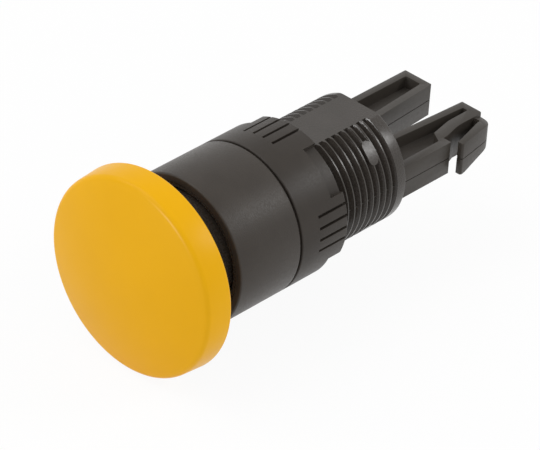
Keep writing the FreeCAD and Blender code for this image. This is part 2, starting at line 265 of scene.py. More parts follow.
def turned_copy(source: bpy.types.Object, degrees: float) -> bpy.types.Object:
    """A copy with its own mesh, turned about the push axis from +X towards +Z."""
    copy = source.copy()
    copy.data = source.data.copy()
    bpy.context.scene.collection.objects.link(copy)
    copy.data.transform(Matrix.Rotation(-math.radians(degrees), 4, "Y"))
    return copy


def join_copies(copies: Sequence[bpy.types.Object]) -> bpy.types.Object:
    """Join separate solids into one object."""
    bpy.ops.object.select_all(action="DESELECT")
    for copy in copies:
        copy.select_set(True)
    bpy.context.view_layer.objects.active = copies[0]
    bpy.ops.object.join()
    return copies[0]


def thread_cutter(name: str, corners: Sequence[Corner], start: float, pitch: float,
                  turns: int) -> bpy.types.Object:
    """Wind an outline round the push axis as a right-hand thread that starts over +Z.

    Args:
        name: name of the new object.
        corners: outline of the groove, its places along the axis counted from its own middle.
        start: place of that middle along the axis at the thread's start.
        pitch: rise of one turn.
        turns: whole turns.

    Returns:
        The closed solid.
    """
    piece = draw_outline(name, corners)
    bpy.ops.object.mode_set(mode="OBJECT")
    piece.data.transform(Matrix.Rotation(-math.pi / 2, 4, "Y"))
    piece.data.transform(Matrix.Translation((0.0, start * MM, 0.0)))
    screw = piece.modifiers.new("thread", "SCREW")
    screw.axis = "Y"
    screw.screw_offset = pitch * MM
    screw.iterations = turns
    screw.steps = BORE_STEPS
    screw.render_steps = BORE_STEPS
    apply_modifier(piece, screw)
    bpy.ops.object.mode_set(mode="EDIT")
    bpy.ops.mesh.select_all(action="SELECT")
    bpy.ops.mesh.remove_doubles(threshold=MERGE)
    bpy.ops.mesh.fill_holes(sides=0)
    return close_mesh(piece)


def soften_edges(piece: bpy.types.Object, width: float, angle: float = 35.0, segments: int = 2) -> None:
    """Round every edge of a piece that is sharper than an angle.

    Args:
        piece: the piece.
        width: width of the rounding.
        angle: least angle between the faces, in degrees.
        segments: facets across the rounding.
    """
    modifier = piece.modifiers.new("soften", "BEVEL")
    modifier.width = width * MM
    modifier.segments = segments
    modifier.limit_method = "ANGLE"
    modifier.angle_limit = math.radians(angle)
    modifier.harden_normals = False
    apply_modifier(piece, modifier)


def finish_piece(piece: bpy.types.Object, body: Body, material: bpy.types.Material,
                 nodes: Iterable[str], smooth_angle: float = 32.0) -> None:
    """Shade a piece, dress it, and hang it on its body in place of the nodes it stands for.

    Args:
        piece: the finished mesh.
        body: moving group that it rides on.
        material: its finish.
        nodes: construction nodes that it replaces.
        smooth_angle: edges sharper than this stay sharp, in degrees.
    """
    bpy.ops.object.select_all(action="DESELECT")
    piece.select_set(True)
    bpy.context.view_layer.objects.active = piece
    bpy.ops.object.shade_smooth_by_angle(angle=math.radians(smooth_angle))
    piece.data.materials.clear()
    piece.data.materials.append(material)
    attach(piece, body.value)
    nodes = list(nodes)
    if nodes:
        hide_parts(*nodes)
    log.info("%s: %d faces on %s", piece.name, len(piece.data.polygons), body.value)


# ---------------------------------------------------------------- finishes


class Shader:
    """A material's node tree, with short calls to add and join nodes."""

    def __init__(self, name: str) -> None:
        """Start a node material with its output and its main shader."""
        self.material = bpy.data.materials.new(name)
        self.material.use_nodes = True
        self.tree = self.material.node_tree
        self.surface = self.tree.nodes["Principled BSDF"]

    def add(self, kind: str, inputs: dict[str, object] | None = None, **settings: object) -> bpy.types.Node:
        """Add a node.

        Args:
            kind: the node's type name.
            inputs: values of its input sockets by name; an output socket given here is linked.
            settings: properties of the node.

        Returns:
            The node.
        """
        node = self.tree.nodes.new(kind)
        for name, value in settings.items():
            setattr(node, name, value)
        for name, value in (inputs or {}).items():
            self.put(node.inputs[name], value)
        return node

    def put(self, socket: bpy.types.NodeSocket, value: object) -> None:
        """Set a socket's value, or link it when the value is an output socket."""
        if isinstance(value, bpy.types.NodeSocket):
            self.tree.links.new(value, socket)
        else:
            socket.default_value = value

    def noise(self, feature: float, detail: float = 2.0, roughness: float = 0.5) -> bpy.types.NodeSocket:
        """Noise whose blobs are about this many millimetres across, fixed to the piece."""
        place = self.add("ShaderNodeTexCoord").outputs["Object"]
        node = self.add("ShaderNodeTexNoise", {
            "Vector": place, "Scale": 1 / (feature * MM), "Detail": detail, "Roughness": roughness})
        return node.outputs["Fac"]

    def between(self, amount: bpy.types.NodeSocket, low: float, high: float) -> bpy.types.NodeSocket:
        """Spread a noise over a range of values."""
        node = self.add("ShaderNodeMapRange", {
            "Value": amount, "From Min": NOISE_LOW, "From Max": NOISE_HIGH, "To Min": low, "To Max": high})
        return node.outputs["Result"]

    def tint(self, amount: bpy.types.NodeSocket, first: Colour, second: Colour) -> bpy.types.NodeSocket:
        """Spread a noise over the colours between two colours."""
        ramp = self.add("ShaderNodeValToRGB", {"Fac": amount})
        for stop, place, colour in zip(
                ramp.color_ramp.elements, (NOISE_LOW, NOISE_HIGH), (first, second)):
            stop.position = place
            stop.color = (*colour, 1.0)
        return ramp.outputs["Color"]

    def bump(self, height: bpy.types.NodeSocket, depth: float,
             under: bpy.types.NodeSocket | None = None) -> bpy.types.NodeSocket:
        """Surface relief of this many millimetres between a height of 0 and 1."""
        inputs: dict[str, object] = {"Height": height, "Distance": depth * MM, "Strength": 1.0}
        if under is not None:
            inputs["Normal"] = under
        return self.add("ShaderNodeBump", inputs).outputs["Normal"]


@dataclass(frozen=True)
class Moulding:
    """Moulded plastic: colour that wanders a little, a fine grain, and broad unevenness.

    The sizes and depths of the grain and of the broad waves are millimetres.
    """

    name: str
    colour: Colour
    other_colour: Colour
    roughness: tuple[float, float]
    grain: float
    grain_depth: float
    wave: float
    wave_depth: float
    specular: float

    def material(self) -> bpy.types.Material:
        """Build the finish as a node material."""
        shader = Shader(self.name)
        surface = shader.surface
        drift = shader.noise(self.wave * 2, 3.0)
        fine = shader.noise(self.grain, 3.0, 0.6)
        shader.put(surface.inputs["Base Color"], shader.tint(drift, self.colour, self.other_colour))
        shader.put(surface.inputs["Roughness"], shader.between(fine, *self.roughness))
        shader.put(surface.inputs["Specular IOR Level"], self.specular)
        broad = shader.bump(shader.noise(self.wave, 1.0), self.wave_depth)
        shader.put(surface.inputs["Normal"], shader.bump(fine, self.grain_depth, under=broad))
        return shader.material


@dataclass(frozen=True)
class SpringSteel:
    """Drawn steel with fine lines across it."""

    name: str
    colour: Colour
    roughness: tuple[float, float]
    line: float = 0.2
    line_depth: float = 0.003
    line_shade: float = 0.75

    def material(self) -> bpy.types.Material:
        """Build the finish as a node material."""
        shader = Shader(self.name)
        surface = shader.surface
        lines = shader.noise(self.line, 4.0, 0.7)
        darker = tuple(part * self.line_shade for part in self.colour)
        shader.put(surface.inputs["Base Color"], shader.tint(lines, darker, self.colour))
        shader.put(surface.inputs["Metallic"], 1.0)
        shader.put(surface.inputs["Roughness"], shader.between(lines, *self.roughness))
        shader.put(surface.inputs["Normal"], shader.bump(lines, self.line_depth))
        return shader.material


CAP_YELLOW = Moulding(
    name="cap_yellow", colour=(0.860, 0.435, 0.001), other_colour=(0.900, 0.460, 0.002),
    roughness=(0.30, 0.38), grain=0.5, grain_depth=0.0006, wave=6.0, wave_depth=0.012,
    specular=0.13)
COLLAR_GRAIN = Moulding(
    name="collar_grain", colour=(0.040, 0.033, 0.027), other_colour=(0.048, 0.040, 0.033),
    roughness=(0.30, 0.50), grain=0.16, grain_depth=0.02, wave=1.6, wave_depth=0.008,
    specular=0.24)
NUT_BLACK = Moulding(
    name="nut_black", colour=(0.033, 0.027, 0.022), other_colour=(0.042, 0.035, 0.029),
    roughness=(0.34, 0.46), grain=0.22, grain_depth=0.005, wave=2.2, wave_depth=0.008,
    specular=0.21)
BARREL_BLACK = Moulding(
    name="barrel_black", colour=(0.037, 0.031, 0.025), other_colour=(0.048, 0.040, 0.034),
    roughness=(0.21, 0.33), grain=0.3, grain_depth=0.003, wave=2.0, wave_depth=0.008,
    specular=0.37)
FORK_BLACK = Moulding(
    name="fork_black", colour=(0.040, 0.034, 0.028), other_colour=(0.050, 0.043, 0.036),
    roughness=(0.32, 0.44), grain=0.35, grain_depth=0.003, wave=2.5, wave_depth=0.01,
    specular=0.28)
SEAL_RUBBER = Moulding(
    name="seal_rubber", colour=(0.018, 0.017, 0.016), other_colour=(0.026, 0.024, 0.023),
    roughness=(0.60, 0.75), grain=0.12, grain_depth=0.01, wave=1.0, wave_depth=0.005,
    specular=0.25)
CLIP_STEEL = SpringSteel(name="clip_steel", colour=(0.560, 0.550, 0.530), roughness=(0.28, 0.42))


# ---------------------------------------------------------------- pieces


@dataclass
class MushroomCap:
    """The domed yellow cap, hollow underneath, with a snap boss and ribs."""

    draft: float = 0.25
    rim_thickness: float = 3.3
    dome_height: float = 1.75
    wall: float = 1.5
    side_wall: float = 1.4
    boss_radius: float = 4.9
    boss_wall: float = 1.3
    edge_round: float = 0.45
    rim_round: float = 0.3
    rib_count: int = 6
    rib_thickness: float = 1.0
    rib_inset: float = 1.05
    ceiling_margin: float = 0.5
    boss_step: float = 0.2
    bore_step: float = 0.5
    arc_steps: int = 20

    def __post_init__(self) -> None:
        """Take the cap's radius and places from the construction node."""
        low, high = cad_size("mushroom_cap")
        self.apex = low.y
        self.radius = high.x
        self.boss_end = high.y
        self.front_radius = self.radius - self.draft
        self.front_edge = self.apex + self.dome_height
        self.under = self.front_edge + self.rim_thickness
        self.dome_radius = (self.front_radius ** 2 + self.dome_height ** 2) / (2 * self.dome_height)

    def dome(self, reach: float, depth: float, steps: int) -> list[Corner]:
        """Points on the dome, or on its inside at this depth, from the axis out to this reach."""
        radius = self.dome_radius - depth
        centre = self.apex + self.dome_radius
        rises = [reach * step / steps for step in range(steps + 1)]
        return [Corner(across, centre - math.sqrt(radius ** 2 - across ** 2)) for across in rises]

    def shell(self) -> bpy.types.Object:
        """The turned shell: dome, rim, hollow and boss."""
        inner = self.front_radius - self.side_wall
        bore = self.boss_radius - self.boss_wall
        outside = self.dome(self.front_radius, 0.0, self.arc_steps)
        edge = Corner(outside[-1].across, outside[-1].along, self.edge_round)
        inside = self.dome(inner, self.wall, self.arc_steps // 2)[::-1]
        ceiling = [corner for corner in inside if corner.across > self.boss_radius + self.ceiling_margin]
        ceiling_end = inside[-1].along
        corners = [
            *outside[:-1], edge, Corner(self.radius, self.under, self.rim_round),
            Corner(inner, self.under, self.rim_round), *ceiling,
            Corner(self.boss_radius, ceiling_end + self.boss_step, 0.15),
            Corner(self.boss_radius, self.boss_end, 0.2), Corner(bore, self.boss_end, 0.2),
            Corner(bore, ceiling_end + self.bore_step), Corner(0.0, ceiling_end + self.bore_step),
        ]
        return turn_shape("mushroom_cap_shell", corners)

    def rib(self) -> bpy.types.Object:
        """One rib between boss and rim, under the dome."""
        reach = self.front_radius - self.side_wall + OVERLAP
        return make_block(
            "cap_rib",
            (self.boss_radius - OVERLAP, self.front_edge - 0.2, -self.rib_thickness / 2),
            (reach, self.under - self.rib_inset, self.rib_thickness / 2))

    def build(self) -> None:
        """Make the cap and put it on the button."""
        shell = self.shell()
        rib = self.rib()
        for index in range(self.rib_count):
            combine(shell, turned_copy(rib, index * 360 / self.rib_count), Cut.ADD)
        bpy.data.objects.remove(rib)
        finish_piece(shell, Body.BUTTON, CAP_YELLOW.material(), ["mushroom_cap"])


@dataclass
class FrontCollar:
    """The grained sleeve in front of the panel."""

    wall: float = 0.85
    floor: float = 1.4
    edge_round: float = 0.25
    mouth_round: float = 0.15
    barrel_hole: float = 7.7
    gasket_inner: float = 8.1
    gasket_outer: float = 8.65
    gasket_depth: float = 0.5

    def build(self) -> None:
        """Turn the sleeve and put it on the housing."""
        low, high = cad_size("front_collar")
        radius, front, rear = high.x, low.y, high.y
        bore = radius - self.wall
        piece = turn_shape("collar_sleeve", [
            Corner(radius, front, self.edge_round), Corner(radius, rear, 0.08),
            Corner(self.gasket_outer, rear), Corner(self.gasket_outer, rear - self.gasket_depth),
            Corner(self.gasket_inner, rear - self.gasket_depth), Corner(self.gasket_inner, rear),
            Corner(self.barrel_hole, rear), Corner(self.barrel_hole, rear - self.floor),
            Corner(bore, rear - self.floor), Corner(bore, front, self.mouth_round),
        ])
        finish_piece(piece, Body.HOUSING, COLLAR_GRAIN.material(), ["front_collar"])


@dataclass
class PlungerStem:
    """The sliding stem that carries the cap."""

    head_radius: float = 7.2
    head_rear: float = -5.9
    socket_radius: float = 5.0
    socket_floor: float = -10.8
    web: float = 1.2
    pocket_radius: float = 5.4
    shank_radius: float = 3.0
    shank_end: float = 5.0
    neck_radius: float = 2.5
    clip_groove_radius: float = 1.9
    clip_play_front: float = 0.025
    clip_play_rear: float = 0.05

    def build(self) -> None:
        """Turn the stem and put it on the button."""
        low, high = cad_size("plunger")
        front, end = low.y, high.y
        clip_low, clip_high = cad_size("retaining_clip")
        groove_front = clip_low.y - self.clip_play_front
        groove_rear = clip_high.y + self.clip_play_rear
        pocket_floor = self.socket_floor + self.web
        piece = turn_shape("plunger_stem", [
            Corner(0.0, self.socket_floor), Corner(self.socket_radius, self.socket_floor, 0.2),
            Corner(self.socket_radius, front, 0.1), Corner(self.head_radius, front, 0.3),
            Corner(self.head_radius, self.head_rear, 0.2), Corner(self.pocket_radius, self.head_rear, 0.1),
            Corner(self.pocket_radius, pocket_floor, 0.2), Corner(self.shank_radius, pocket_floor, 0.2),
            Corner(self.shank_radius, self.shank_end, 0.15), Corner(self.neck_radius, self.shank_end),
            Corner(self.neck_radius, groove_front), Corner(self.clip_groove_radius, groove_front),
            Corner(self.clip_groove_radius, groove_rear), Corner(self.neck_radius, groove_rear),
            Corner(self.neck_radius, end, 0.4), Corner(0.0, end),
        ], BORE_STEPS)
        finish_piece(piece, Body.BUTTON, BARREL_BLACK.material(), ["plunger"])


@dataclass
class ThreadedBarrel:
    """The barrel behind the panel, with its thread, flat and smooth pads."""

    thread_radius: float = 7.6
    root_radius: float = 7.0
    pitch: float = 1.0
    crest_at: float = 0.89
    root_flat: float = 0.15
    crest_shoulder: float = 0.08
    crest_width: float = 0.17
    cutter_rise: float = 0.12
    flat_height: float = 7.0
    end_round: float = 0.2
    cup_bore: float = 7.5
    flange_radius: float = 8.1
    flange_floor: float = -2.6
    flange_rear: float = -1.45
    spring_bore: float = 5.6
    web_front: float = 3.0
    web_rear: float = 5.0
    shank_hole: float = 3.05
    bore: float = 5.7
    pad_middle: float = 14.3
    pad_length: float = 1.4
    pad_width: float = 2.9
    pad_angles: tuple[float, float] = (42.0, -44.0)
    smooth_half_width: float = 2.45
    seam_angle: float = 3.0
    seam_front: float = 8.0
    seam_rear: float = 17.3
    seam_width: float = 0.12
    seam_height: float = 0.25
    turns: int = 18

    def core(self) -> bpy.types.Object:
        """The barrel without its thread."""
        low, high = cad_size("threaded_barrel")
        front, rear = low.y, high.y
        return turn_shape("barrel_core", [
            Corner(self.cup_bore, front), Corner(self.flange_radius, front),
            Corner(self.flange_radius, self.flange_rear), Corner(self.thread_radius, self.flange_rear),
            Corner(self.thread_radius, rear, self.end_round), Corner(self.bore, rear, 0.15),
            Corner(self.bore, self.web_rear), Corner(self.shank_hole, self.web_rear),
            Corner(self.shank_hole, self.web_front), Corner(self.spring_bore, self.web_front),
            Corner(self.spring_bore, self.flange_floor), Corner(self.cup_bore, self.flange_floor),
        ])

    def groove(self) -> bpy.types.Object:
        """The helical groove, with a rounded floor and shoulders, which starts and ends over the flat."""
        shoulder = self.thread_radius - self.crest_shoulder
        flank = self.root_flat / 2 + (shoulder - self.root_radius) * FLANK_SLOPE
        lip = (self.pitch - self.crest_width) / 2
        half = [
            Corner(self.root_radius, self.root_flat / 2), Corner(shoulder, flank),
            Corner(self.thread_radius - 0.02, (flank + lip) / 2 + 0.01),
            Corner(self.thread_radius + 0.01, lip), Corner(self.thread_radius + self.cutter_rise, lip),
        ]
        outline = [*half, *[Corner(corner.across, -corner.along) for corner in reversed(half)]]
        start = self.pitch * (self.crest_at - 1.5)
        return thread_cutter("thread_groove", outline, start, self.pitch, self.turns)

    def pad_block(self) -> bpy.types.Object:
        """An oval plug over +X, which keeps the groove away from one smooth pad."""
        half = self.pad_width / 2
        low = self.pad_middle - self.pad_length / 2
        high = self.pad_middle + self.pad_length / 2
        rounding = self.pad_length / 2 - 0.01
        piece = raise_plate("thread_pad", [
            Corner(-half, low, rounding), Corner(half, low, rounding),
            Corner(half, high, rounding), Corner(-half, high, rounding),
        ], self.root_radius - OVERLAP, self.thread_radius + PAST)
        piece.data.transform(Matrix.Rotation(math.pi / 2, 4, "Y"))
        return piece

    def build(self) -> None:
        """Make the barrel and put it on the housing."""
        core = self.core()
        reach = 3 * self.thread_radius
        flat = make_block("flat_cut", (-reach, 0.0, self.flat_height), (reach, reach, reach))
        combine(core, flat, Cut.TAKE)
        groove = self.groove()
        pad = self.pad_block()
        for angle in self.pad_angles:
            combine(groove, turned_copy(pad, angle), Cut.TAKE)
        bpy.data.objects.remove(pad)
        smooth = self.smooth_half_width
        combine(groove, make_block("smooth_bar", (-smooth, -reach, 0.0), (smooth, reach, reach)), Cut.TAKE)
        seam = make_block(
            "mould_seam", (self.root_radius - OVERLAP, self.seam_front, -self.seam_width / 2),
            (self.root_radius + self.seam_height, self.seam_rear, self.seam_width / 2))
        combine(groove, turned_copy(seam, self.seam_angle), Cut.TAKE)
        bpy.data.objects.remove(seam)
        combine(core, groove, Cut.TAKE)
        core.name = "threaded_barrel_moulding"
        finish_piece(core, Body.HOUSING, BARREL_BLACK.material(), ["threaded_barrel"])


@dataclass
class RingNut:
    """The nut behind the panel, with groups of grip grooves and four wrench slots."""

    bore: float = 7.3
    thread_radius: float = 7.7
    pitch: float = 1.0
    crest_at: float = 0.89
    crest_flat: float = 0.22
    bore_clearance: float = 0.05
    edge_round: float = 0.15
    grip_length: float = 4.3
    groove_depth: float = 0.45
    groove_width: float = 0.26
    groove_step: float = 9.0
    group_middle: float = 6.2
    grooves_per_group: int = 4
    groups: int = 4
    slot_middle: float = 47.4
    slot_angle: float = 39.2
    slot_length: float = 1.95
    slot_depth: float = 0.65
    slot_steps: int = 24
    lip_depth: float = 0.07
    lip_flare: float = 1.8
    front_slope: float = 0.12
    front_flare: float = 0.15
    cutter_rise: float = 0.12

    def __post_init__(self) -> None:
        """Take the nut's outside from the construction node."""
        low, high = cad_size("ring_nut")
        self.radius = max(high.x, high.z)
        self.front = low.y
        self.rear = high.y

    def groove(self) -> bpy.types.Object:
        """Cutter for one grip groove over +X, with a sloped front end and flared lips."""
        floor = self.radius - self.groove_depth
        start = self.rear - self.grip_length
        top = self.radius + self.cutter_rise
        lip = self.radius - self.lip_depth
        half = self.groove_width / 2
        piece = raise_plate("grip_groove", [
            Corner(floor, start + self.front_slope), Corner(lip, start),
            Corner(top, start - self.front_flare), Corner(top, self.rear + PAST),
            Corner(lip, self.rear + PAST), Corner(floor, self.rear + PAST),
        ], -half, half)
        bpy.ops.object.mode_set(mode="EDIT")
        select_vertices(lambda point: point.x > top - SAME_PLACE)
        bpy.ops.transform.resize(value=(1.0, 1.0, self.lip_flare), center_override=(0.0, 0.0, 0.0))
        return close_mesh(piece)

    def slot(self) -> bpy.types.Object:
        """Cutter for one wrench slot, its middle over +X."""
        floor = self.radius - self.slot_depth
        start = self.rear - self.slot_length
        half = math.radians(self.slot_angle / 2)
        piece = draw_outline("wrench_slot", [
            Corner(floor, start, 0.15), Corner(self.radius + PAST, start),
            Corner(self.radius + PAST, self.rear + PAST), Corner(floor, self.rear + PAST),
        ])
        bpy.ops.mesh.edge_face_add()
        bpy.ops.mesh.spin(steps=self.slot_steps, angle=2 * half, center=(0.0, 0.0, 0.0), axis=PUSH_AXIS)
        close_mesh(piece)
        piece.data.transform(Matrix.Rotation(half, 4, "Y"))
        return piece

    def thread(self) -> bpy.types.Object:
        """Cutter for the thread in the bore."""
        inner = self.bore - self.bore_clearance
        narrow = self.crest_flat / 2
        wide = narrow + (self.thread_radius - inner) * FLANK_SLOPE
        start = self.pitch * (self.crest_at - 2)
        return thread_cutter("nut_thread", [
            Corner(self.thread_radius, -narrow), Corner(self.thread_radius, narrow),
            Corner(inner, wide), Corner(inner, -wide),
        ], start, self.pitch, math.ceil(self.rear / self.pitch) + 3)

    def build(self) -> None:
        """Make the nut and put it on its own body."""
        lead = self.thread_radius - self.bore
        body = turn_shape("ring_nut_moulding", [
            Corner(self.radius, self.front, self.edge_round), Corner(self.radius, self.rear, 0.12),
            Corner(self.thread_radius, self.rear, 0.03), Corner(self.bore, self.rear - lead),
            Corner(self.bore, self.front + lead), Corner(self.thread_radius, self.front),
        ], 360)
        combine(body, self.thread(), Cut.TAKE)
        groove = self.groove()
        slot = self.slot()
        grooves = []
        slots = []
        for group in range(self.groups):
            turn = group * 360 / self.groups
            for index in range(self.grooves_per_group):
                offset = (index - (self.grooves_per_group - 1) / 2) * self.groove_step
                grooves.append(turned_copy(groove, self.group_middle + offset + turn))
            slots.append(turned_copy(slot, self.slot_middle + turn))
        combine(body, join_copies(grooves), Cut.TAKE)
        combine(body, join_copies(slots), Cut.TAKE)
        bpy.data.objects.remove(groove)
        bpy.data.objects.remove(slot)
        finish_piece(body, Body.NUT, NUT_BLACK.material(), ["ring_nut"], 25.0)


@dataclass
class SwitchFork:
    """The fork that works the contacts: hub, necks, guide disc, plain leg and hook leg."""

    half_height: float = 2.03
    pocket_depth: float = 1.5
    leg_wall: float = 0.9
    edge_round: float = 0.12
    leg_start: float = 18.5
    line_width: float = 0.1
    line_depth: float = 0.12
    plain_inner: float = 1.35
    plain_end_inner: float = 2.3
    plain_outer: float = 6.3
    hook_inner: float = 1.5
    hook_end_inner: float = 2.4
    hook_outer: float = 7.16
    hook_end: float = 33.4
    end_reach: float = 5.2
    end_step: float = 0.3
    nose_round: float = 1.6
    upper_taper_length: float = 1.9
    upper_taper: float = 0.5
    lower_taper_length: float = 5.7
    lower_taper: float = 1.25
    notch_front: float = 26.2
    notch_width: float = 0.65
    notch_floor: float = 6.0
    arm_reach: float = 8.38
    arm_root_reach: float = 7.37
    arm_thickness: float = 0.75
    arm_root_length: float = 1.3
    slot_inner: float = 5.4
    slot_outer: float = 6.25
    slot_bend_distance: float = 2.4
    spine: float = 1.4
    block_wall: float = 1.09
    root_outer: float = 5.0
    hub_front: float = 5.05
    hub_rear: float = 7.75
    hub_radius: float = 5.4
    hub_bore: float = 2.55
    guide_front: float = 14.4
    guide_rear: float = 15.9
    guide_radius: float = 5.5
    neck_inner: float = 4.1
    neck_outer: float = 5.3
    neck_half_height: float = 1.7

    def pockets(self, corners: Sequence[Corner]) -> list[bpy.types.Object]:
        """Cutters for blind pockets of this outline, one from above and one from below."""
        floor = self.half_height - self.pocket_depth
        above = raise_plate("pocket_above", corners, floor, self.half_height + PAST)
        below = raise_plate("pocket_below", corners, -self.half_height - PAST, -floor)
        return [above, below]

    def mould_line(self, corners: Sequence[Corner]) -> bpy.types.Object:
        """Cutter for the fine line round a leg of this outline, where the mould halves meet."""
        half = self.line_width / 2
        across = [corner.across for corner in corners]
        rear = max(corner.along for corner in corners)
        ring = make_block(
            "mould_line", (min(across) - OVERLAP, self.leg_start + 2 * self.line_depth, -half),
            (max(across) + OVERLAP, rear + OVERLAP, half))
        inside = raise_plate("line_inside", drawn_in(corners, self.line_depth), -PAST, PAST)
        combine(ring, inside, Cut.TAKE)
        return ring

    def nose_wedge(self, length: float, taper: float, side: int) -> bpy.types.Object:
        """Cutter that slopes the hook arm's upper (side 1) or lower (side -1) face to its rear end."""
        top = side * self.half_height
        front = self.hook_end - length
        rear = self.hook_end + PAST
        corners = [
            Corner(front, top), Corner(rear, top - side * taper * (1 + PAST / length)),
            Corner(rear, top + side * PAST), Corner(front, top + side * PAST),
        ]
        wedge = raise_plate("nose_wedge", corners, self.slot_inner, self.arm_reach + PAST)
        wedge.data.transform(Matrix(((0, 0, 1, 0), (1, 0, 0, 0), (0, 1, 0, 0), (0, 0, 0, 1))))
        return wedge

    def hook_outline(self) -> list[Corner]:
        """Outline of the hook leg with its arm."""
        notch_rear = self.notch_front + self.notch_width
        nose = self.hook_end - self.end_step
        return [
            Corner(self.hook_inner, self.leg_start), Corner(self.hook_end_inner, self.hook_end, 0.12),
            Corner(self.end_reach, self.hook_end, 0.15), Corner(self.end_reach + self.end_step, nose, 0.1),
            Corner(self.arm_root_reach, nose, self.nose_round),
            Corner(self.arm_reach, notch_rear, 0.3), Corner(self.notch_floor, notch_rear),
            Corner(self.notch_floor, self.notch_front), Corner(self.hook_outer, self.notch_front, 0.1),
            Corner(self.hook_outer, self.leg_start),
        ]

    def hook_leg(self) -> bpy.types.Object:
        """The leg whose outer arm springs in and out as a snap hook."""
        notch_rear = self.notch_front + self.notch_width
        leg = raise_plate("hook_leg", self.hook_outline(), -self.half_height, self.half_height)
        slot_end = self.hook_end - self.arm_root_length
        tip_inner = self.arm_reach - self.arm_thickness
        bend = notch_rear + self.slot_bend_distance
        slot = raise_plate("hook_slot", [
            Corner(self.notch_floor, notch_rear - OVERLAP), Corner(self.notch_floor, notch_rear),
            Corner(self.slot_inner, bend, 0.8), Corner(self.slot_inner, slot_end, 0.2),
            Corner(self.slot_outer, slot_end, 0.2),
            Corner(tip_inner, notch_rear), Corner(tip_inner, notch_rear - OVERLAP),
        ], -self.half_height - PAST, self.half_height + PAST)
        combine(leg, slot, Cut.TAKE)
        front = self.leg_start + self.leg_wall
        rear = self.hook_end - self.leg_wall
        spine_inner = self.notch_floor - self.spine
        spine_rear = self.slot_inner - self.spine
        block_outer = self.hook_outer - self.block_wall
        for pocket in self.pockets([
            Corner(self.hook_inner + self.leg_wall, front, 0.15),
            Corner(self.hook_end_inner + self.leg_wall, rear, 0.2),
            Corner(spine_rear, rear, 0.15), Corner(spine_rear, bend, 0.5),
            Corner(spine_inner, self.notch_front, 0.1),
            Corner(block_outer, self.notch_front - self.leg_wall, 0.1), Corner(block_outer, front, 0.15),
        ]):
            combine(leg, pocket, Cut.TAKE)
        combine(leg, self.nose_wedge(self.upper_taper_length, self.upper_taper, 1), Cut.TAKE)
        combine(leg, self.nose_wedge(self.lower_taper_length, self.lower_taper, -1), Cut.TAKE)
        return leg

    def plain_outline(self, end: float) -> list[Corner]:
        """Outline of the leg with no hook; its inner side leans away from the axis."""
        return [
            Corner(-self.plain_outer, self.leg_start), Corner(-self.plain_outer, end, 0.12),
            Corner(-self.plain_end_inner, end, 0.12), Corner(-self.plain_inner, self.leg_start),
        ]

    def plain_leg(self, end: float) -> bpy.types.Object:
        """The leg with no hook."""
        leg = raise_plate("plain_leg", self.plain_outline(end), -self.half_height, self.half_height)
        outer = -self.plain_outer + self.leg_wall
        front = self.leg_start + self.leg_wall
        rear = end - self.leg_wall
        for pocket in self.pockets([
            Corner(outer, front, 0.15), Corner(outer, rear, 0.2),
            Corner(-self.plain_end_inner - self.leg_wall, rear, 0.2),
            Corner(-self.plain_inner - self.leg_wall, front, 0.15),
        ]):
            combine(leg, pocket, Cut.TAKE)
        return leg

    def base(self) -> bpy.types.Object:
        """Hub, necks, guide disc and the roots of both legs."""
        body = turn_shape("fork_base", [
            Corner(self.hub_bore, self.hub_front), Corner(self.hub_radius, self.hub_front),
            Corner(self.hub_radius, self.hub_rear), Corner(self.hub_bore, self.hub_rear),
        ], BORE_STEPS)
        guide = turn_shape("guide_disc", [
            Corner(0.0, self.guide_front), Corner(self.guide_radius, self.guide_front),
            Corner(self.guide_radius, self.guide_rear), Corner(0.0, self.guide_rear),
        ], BORE_STEPS)
        for low, high in ((-self.root_outer, -self.plain_inner), (self.hook_inner, self.root_outer)):
            root = make_block("leg_root", (low, self.guide_rear - OVERLAP, -self.half_height),
                              (high, self.leg_start + OVERLAP, self.half_height))
            combine(guide, root, Cut.ADD)
        for low, high in ((-self.neck_outer, -self.neck_inner), (self.neck_inner, self.neck_outer)):
            neck = make_block("neck", (low, self.hub_rear - OVERLAP, -self.neck_half_height),
                              (high, self.guide_front + OVERLAP, self.neck_half_height))
            combine(guide, neck, Cut.ADD)
        combine(body, guide, Cut.ADD)
        return body

    def build(self) -> None:
        """Make the fork and put it on the button."""
        low, high = cad_size("switch_fork")
        fork = self.base()
        combine(fork, self.plain_leg(high.y), Cut.ADD)
        combine(fork, self.hook_leg(), Cut.ADD)
        soften_edges(fork, self.edge_round)
        for outline in (self.plain_outline(high.y), self.hook_outline()):
            combine(fork, self.mould_line(outline), Cut.TAKE)
        fork.name = "switch_fork_moulding"
        finish_piece(fork, Body.BUTTON, FORK_BLACK.material(), ["switch_fork"])


class PlainNodes:
    """Construction nodes that keep their shape and only get a finish."""

    finishes: dict[str, Moulding | SpringSteel] = {
        "seal_retainer": BARREL_BLACK, "lip_seal": SEAL_RUBBER, "panel_gasket": SEAL_RUBBER,
        "keyed_washer": BARREL_BLACK, "retaining_clip": CLIP_STEEL, "return_spring": CLIP_STEEL,
    }

    def dress(self) -> None:
        """Give each node its finish."""
        for name, finish in self.finishes.items():
            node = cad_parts[name]
            node.data.materials.clear()
            node.data.materials.append(finish.material())
            log.info("%s: finish only", name)


# ---------------------------------------------------------------- studio


@dataclass(frozen=True)
class Lamp:
    """A soft square lamp of some watts; its size is metres.

    The direction is from the object, as parts to the right, up and towards the camera. A lamp for
    glints only is seen in reflections and leaves the colours alone.
    """

    name: str
    direction: tuple[float, float, float]
    size: float
    power: float
    glints_only: bool = False


